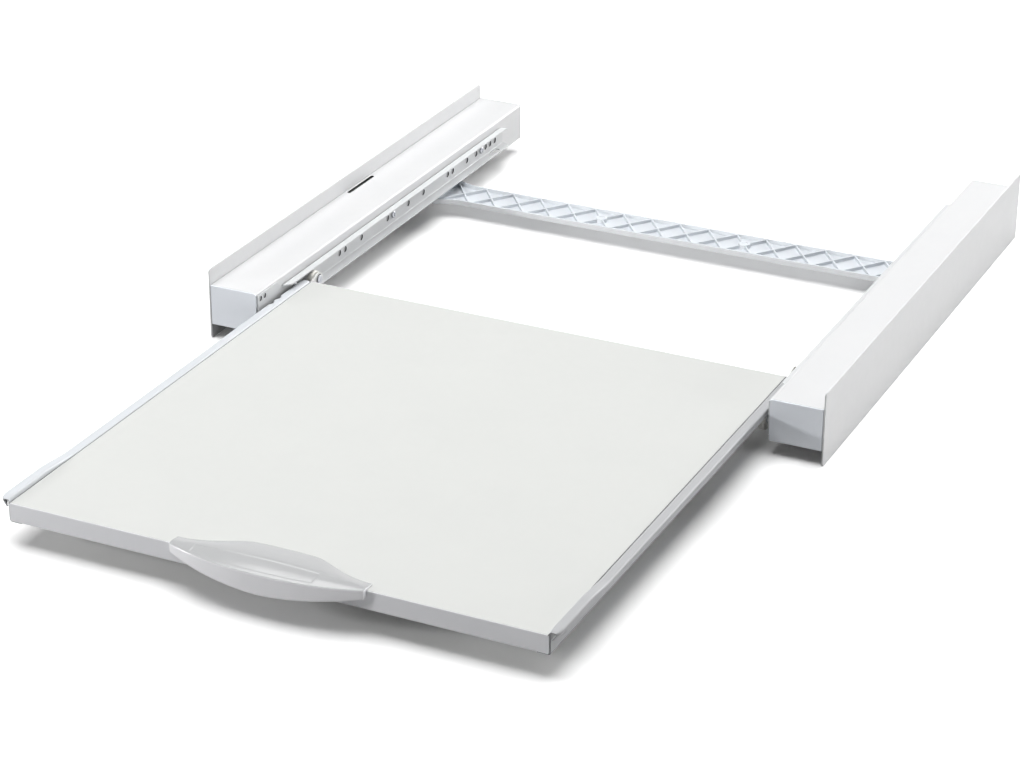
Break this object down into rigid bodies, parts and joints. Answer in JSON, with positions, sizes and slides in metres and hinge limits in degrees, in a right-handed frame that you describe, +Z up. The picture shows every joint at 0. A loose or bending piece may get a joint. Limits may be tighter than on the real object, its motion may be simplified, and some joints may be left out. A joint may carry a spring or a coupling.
{
  "type": "washer dryer stacking kit",
  "caption": "Stacking kit that ties a tumble dryer to the washing machine below: lipped steel side rails, a ribbed crossbar, and a board shelf that pulls out on roller slides.",
  "frame": {"origin": "middle of the plan of the whole kit with its shelf out, at the height of the side plates' lower edges, which stand on the floor in the picture", "axes": "+X to the right of someone facing the handle, +Y to the back of the machines, +Z up"},
  "size_m": [0.603, 0.9984, 0.069],
  "materials": {
    "white_powder_coat": "satin white powder coat on steel sheet",
    "runner_epoxy": "smooth white epoxy coat on steel sheet",
    "zinc_plate": "zinc plated",
    "roller_nylon": "natural nylon",
    "pad_rubber": "matte black",
    "white_melamine": "chipboard faced with white melamine, fine texture",
    "edge_band": "satin light grey",
    "handle_plastic": "satin light grey",
    "crossbar_plastic": "moulded, slightly blue white"
  },
  "bodies": {
    "frame": {"crossbar": "crossbar_plastic", "left_side_plate": "white_powder_coat", "left_channel": "white_powder_coat", "left_front_cap": "white_powder_coat", "left_rear_cap": "white_powder_coat", "left_front_pad": "pad_rubber", "left_rear_pad": "pad_rubber", "left_fixed_runner": "runner_epoxy", "left_runner_screw_1": "zinc_plate", "left_runner_screw_2": "zinc_plate", "left_runner_screw_3": "zinc_plate", "left_front_roller_pin": "zinc_plate", "right_side_plate": "white_powder_coat", "right_channel": "white_powder_coat", "right_front_cap": "white_powder_coat", "right_rear_cap": "white_powder_coat", "right_front_pad": "pad_rubber", "right_rear_pad": "pad_rubber", "right_fixed_runner": "runner_epoxy", "right_runner_screw_1": "zinc_plate", "right_runner_screw_2": "zinc_plate", "right_runner_screw_3": "zinc_plate", "right_front_roller_pin": "zinc_plate"},
    "shelf": {"shelf_board": "white_melamine", "shelf_front_band": "edge_band", "shelf_rear_band": "edge_band", "shelf_left_band": "edge_band", "shelf_right_band": "edge_band", "handle": "handle_plastic", "handle_screw_left": "zinc_plate", "handle_screw_right": "zinc_plate", "left_drawer_runner": "runner_epoxy", "left_shelf_screw_1": "zinc_plate", "left_shelf_screw_2": "zinc_plate", "left_shelf_screw_3": "zinc_plate", "left_rear_roller_pin": "zinc_plate", "right_drawer_runner": "runner_epoxy", "right_shelf_screw_1": "zinc_plate", "right_shelf_screw_2": "zinc_plate", "right_shelf_screw_3": "zinc_plate", "right_rear_roller_pin": "zinc_plate"},
    "left_front_roller": {"left_front_roller": "roller_nylon"},
    "right_front_roller": {"right_front_roller": "roller_nylon"},
    "left_rear_roller": {"left_rear_roller": "roller_nylon"},
    "right_rear_roller": {"right_rear_roller": "roller_nylon"}
  },
  "joints": [
    {"name": "shelf_slide", "type": "slide", "parent": "frame", "child": "shelf", "axis": [0, 1, 0], "range_m": [0, 0.413]},
    {"name": "left_front_roller_spin", "type": "hinge", "parent": "frame", "child": "left_front_roller", "pos_m": [-0.2422, -0.05125, 0.0278], "axis": [1, 0, 0], "continuous": true},
    {"name": "left_rear_roller_spin", "type": "hinge", "parent": "shelf", "child": "left_rear_roller", "pos_m": [-0.2439, 0.02825, 0.03475], "axis": [1, 0, 0], "continuous": true},
    {"name": "right_front_roller_spin", "type": "hinge", "parent": "frame", "child": "right_front_roller", "pos_m": [0.2422, -0.05125, 0.0278], "axis": [1, 0, 0], "continuous": true},
    {"name": "right_rear_roller_spin", "type": "hinge", "parent": "shelf", "child": "right_rear_roller", "pos_m": [0.2439, 0.02825, 0.03475], "axis": [1, 0, 0], "continuous": true}
  ],
  "couplings": [
    {"joint": "left_front_roller_spin", "follows": "shelf_slide", "rad_per_m": -96.154},
    {"joint": "left_rear_roller_spin", "follows": "shelf_slide", "rad_per_m": -131.58},
    {"joint": "right_front_roller_spin", "follows": "shelf_slide", "rad_per_m": -96.154},
    {"joint": "right_rear_roller_spin", "follows": "shelf_slide", "rad_per_m": -131.58}
  ]
}
